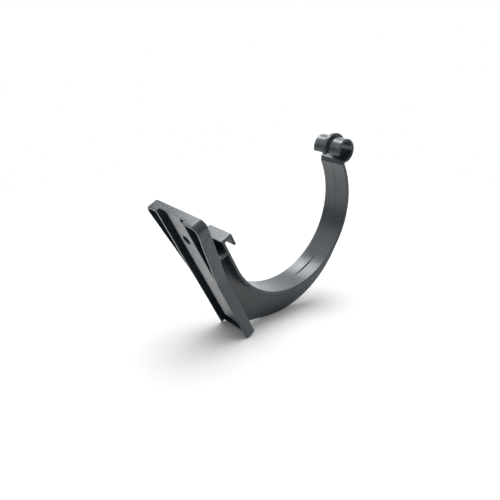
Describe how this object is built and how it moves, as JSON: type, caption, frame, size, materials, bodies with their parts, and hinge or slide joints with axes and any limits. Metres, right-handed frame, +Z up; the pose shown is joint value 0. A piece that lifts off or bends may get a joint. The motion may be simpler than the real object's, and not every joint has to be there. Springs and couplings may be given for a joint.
{
  "type": "gutter bracket",
  "caption": "Moulded PVC bracket that hangs a half-round rain gutter on a fascia: tapered hollow-backed plate, crescent arm with a T section, rear hook and front bead clip.",
  "frame": {"origin": "on the axis of the fixing screw, in the plate's front face where the screw's head bears", "axes": "+X away from the fascia, +Y along the gutter, +Z up as installed; symmetric about the XZ plane"},
  "size_m": [0.1663, 0.061, 0.1504],
  "materials": {
    "pvc": "dark grey rigid PVC as moulded, satin, with a faint parting line along the middle of the arm"
  },
  "bodies": {
    "root": {"gutter_bracket": "pvc"}
  },
  "joints": []
}
